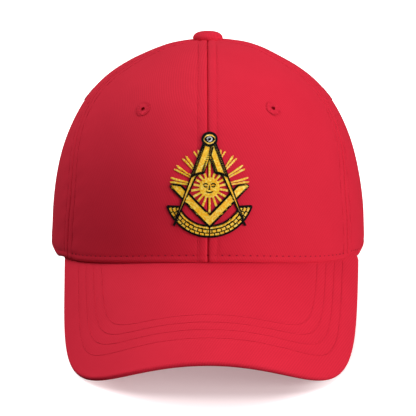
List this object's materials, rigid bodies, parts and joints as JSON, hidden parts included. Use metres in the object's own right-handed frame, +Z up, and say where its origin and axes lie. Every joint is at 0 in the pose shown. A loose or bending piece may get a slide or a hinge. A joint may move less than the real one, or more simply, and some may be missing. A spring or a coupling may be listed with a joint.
{
  "type": "peaked cap",
  "caption": "Soft cotton twill peaked cap with a curved brim, a back strap and an embroidered square and compasses emblem.",
  "frame": {"origin": "on the floor, below the middle of the resting cap's box", "axes": "-Y to the front, where the brim is, +X to the wearer's left, +Z up; the rim's plane is raised about 11 degrees at the front, as the cap rests on its brim and the back of its rim"},
  "size_m": [0.173, 0.263, 0.1363],
  "materials": {
    "twill": "matte red cotton twill",
    "tape": "matte red cotton tape",
    "thread_red": "red polyester thread",
    "thread_gold": "lustrous gold embroidery thread",
    "thread_black": "lustrous black embroidery thread",
    "thread_white": "lustrous white embroidery thread"
  },
  "bodies": {
    "root": {"front_panel_left": "twill", "front_panel_right": "twill", "side_panel_left": "twill", "side_panel_right": "twill", "back_panel_left": "twill", "back_panel_right": "twill", "button": "twill", "brim_top": "twill", "brim_underside": "twill", "strap_left": "twill", "strap_right": "twill", "sweatband": "tape", "arch_binding": "tape", "front_eyelet_left": "thread_red", "front_eyelet_right": "thread_red", "side_eyelet_left": "thread_red", "side_eyelet_right": "thread_red", "back_eyelet_left": "thread_red", "back_eyelet_right": "thread_red", "emblem_leg_left": "thread_gold", "emblem_leg_right": "thread_gold", "emblem_eye_ring": "thread_gold", "emblem_square": "thread_gold", "emblem_square_end_left": "thread_gold", "emblem_square_end_right": "thread_gold", "emblem_arc": "thread_gold", "emblem_arc_end_left": "thread_gold", "emblem_arc_end_right": "thread_gold", "emblem_sun": "thread_gold", "emblem_ray_left_1": "thread_gold", "emblem_ray_left_2": "thread_gold", "emblem_ray_left_3": "thread_gold", "emblem_ray_left_4": "thread_gold", "emblem_ray_right_1": "thread_gold", "emblem_ray_right_2": "thread_gold", "emblem_ray_right_3": "thread_gold", "emblem_ray_right_4": "thread_gold", "emblem_hinge": "thread_black", "emblem_eye": "thread_white"}
  },
  "joints": []
}
